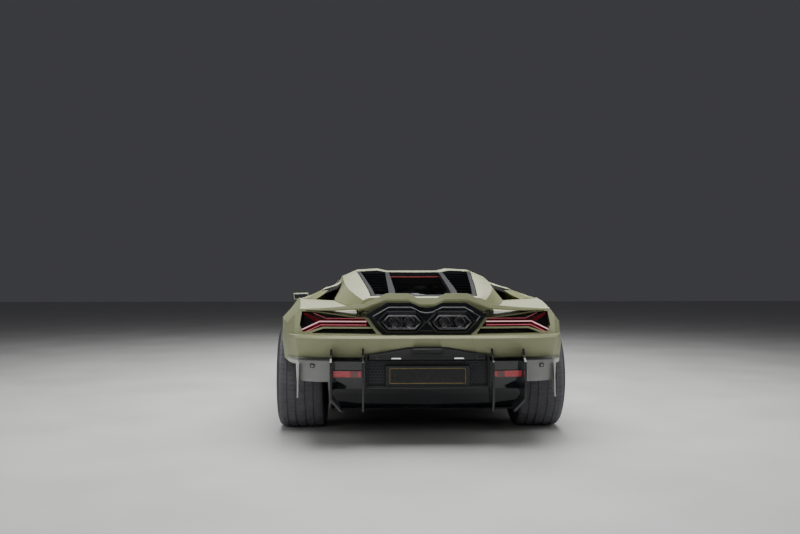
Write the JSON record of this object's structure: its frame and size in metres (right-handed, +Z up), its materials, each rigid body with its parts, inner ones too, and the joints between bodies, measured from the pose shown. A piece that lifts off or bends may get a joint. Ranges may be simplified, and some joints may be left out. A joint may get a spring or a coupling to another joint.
{
  "type": "supercar",
  "caption": "Low mid-engined coupe with olive paint, upward-swinging doors, louvred engine lid, rear wing on posts, forked red tail lamps and six-sided exhaust outlets.",
  "frame": {"origin": "on the floor, under the middle of the overall box", "axes": "+Y forwards, +X to the car's right, +Z up"},
  "size_m": [2.266, 4.947, 1.1616],
  "materials": {
    "paint": "matte olive green",
    "black_structure": "satin black",
    "gloss_black": "gloss black",
    "black_grille": "matte black mesh",
    "grey_panel": "satin grey",
    "tinted_glass": "tinted glass",
    "tyre_rubber": "matt tread rubber",
    "dark_alloy": "satin dark grey wheel paint",
    "brake_disc": "ground friction faces",
    "exhaust_metal": "dark satin steel",
    "lamp_red": "clear red lens over dark housing",
    "lamp_clear": "clear lens",
    "leather": "fine black leather",
    "cabin_trim": "soft black trim",
    "engine_metal": "cast alloy"
  },
  "bodies": {
    "body": {"tub": "black_structure", "nose": "paint", "headlamps": "lamp_clear", "front_grilles": "black_grille", "front_fender_left": "paint", "front_fender_right": "paint", "roof": "paint", "cabin_glass": "tinted_glass", "rear_quarter_left": "paint", "rear_quarter_right": "paint", "rear_bumper": "paint", "tail_fascia": "gloss_black", "tail_lamps": "lamp_red", "lamp_housings": "gloss_black", "exhaust": "exhaust_metal", "tailpipes": "exhaust_metal", "side_grilles": "black_grille", "rear_grille": "black_grille", "rear_valance": "grey_panel", "diffuser": "gloss_black", "skirts": "gloss_black", "engine": "engine_metal", "seats": "leather", "dashboard": "cabin_trim", "suspension_arms": "black_structure"},
    "knuckle_l": {"knuckle_left": "black_structure"},
    "knuckle_r": {"knuckle_right": "black_structure"},
    "wheel_fl": {"tyre_front_left": "tyre_rubber", "rim_front_left": "dark_alloy", "disc_front_left": "brake_disc"},
    "wheel_fr": {"tyre_front_right": "tyre_rubber", "rim_front_right": "dark_alloy", "disc_front_right": "brake_disc"},
    "wheel_rl": {"tyre_rear_left": "tyre_rubber", "rim_rear_left": "dark_alloy", "disc_rear_left": "brake_disc"},
    "wheel_rr": {"tyre_rear_right": "tyre_rubber", "rim_rear_right": "dark_alloy", "disc_rear_right": "brake_disc"},
    "door_l": {"door_left": "paint", "door_glass_left": "tinted_glass", "mirror_left": "paint"},
    "door_r": {"door_right": "paint", "door_glass_right": "tinted_glass", "mirror_right": "paint"},
    "front_lid_body": {"front_lid": "paint"},
    "engine_lid_body": {"engine_lid": "gloss_black"},
    "wing_body": {"wing": "paint"}
  },
  "joints": [
    {"name": "steer_left", "type": "hinge", "parent": "body", "child": "knuckle_l", "pos_m": [-0.767, 1.3205, 0.347], "axis": [0, 0, 1], "range_deg": [-30, 30]},
    {"name": "steer_right", "type": "hinge", "parent": "body", "child": "knuckle_r", "pos_m": [0.767, 1.3205, 0.347], "axis": [0, 0, 1], "range_deg": [-30, 30]},
    {"name": "roll_front_left", "type": "hinge", "parent": "knuckle_l", "child": "wheel_fl", "pos_m": [-0.86, 1.3205, 0.347], "axis": [1, 0, 0], "continuous": true},
    {"name": "roll_front_right", "type": "hinge", "parent": "knuckle_r", "child": "wheel_fr", "pos_m": [0.86, 1.3205, 0.347], "axis": [1, 0, 0], "continuous": true},
    {"name": "roll_rear_left", "type": "hinge", "parent": "body", "child": "wheel_rl", "pos_m": [-0.846, -1.4585, 0.37], "axis": [1, 0, 0], "continuous": true},
    {"name": "roll_rear_right", "type": "hinge", "parent": "body", "child": "wheel_rr", "pos_m": [0.846, -1.4585, 0.37], "axis": [1, 0, 0], "continuous": true},
    {"name": "door_left_swing", "type": "hinge", "parent": "body", "child": "door_l", "pos_m": [-0.835, 0.8605, 0.775], "axis": [-0.9659, 0, -0.2588], "range_deg": [0, 70]},
    {"name": "door_right_swing", "type": "hinge", "parent": "body", "child": "door_r", "pos_m": [0.835, 0.8605, 0.775], "axis": [-0.9659, 0, 0.2588], "range_deg": [0, 70]},
    {"name": "front_lid_hinge", "type": "hinge", "parent": "body", "child": "front_lid_body", "pos_m": [0, 0.9995, 0.832], "axis": [1, 0, 0], "range_deg": [0, 55]},
    {"name": "engine_lid_hinge", "type": "hinge", "parent": "body", "child": "engine_lid_body", "pos_m": [0, -0.6415, 1.128], "axis": [-1, 0, 0], "range_deg": [0, 40]},
    {"name": "wing_hinge", "type": "hinge", "parent": "body", "child": "wing_body", "pos_m": [0, -2.1485, 0.86], "axis": [-1, 0, 0], "range_deg": [0, 12]}
  ],
  "couplings": [
    {"joint": "steer_right", "follows": "steer_left", "ratio": 1}
  ]
}
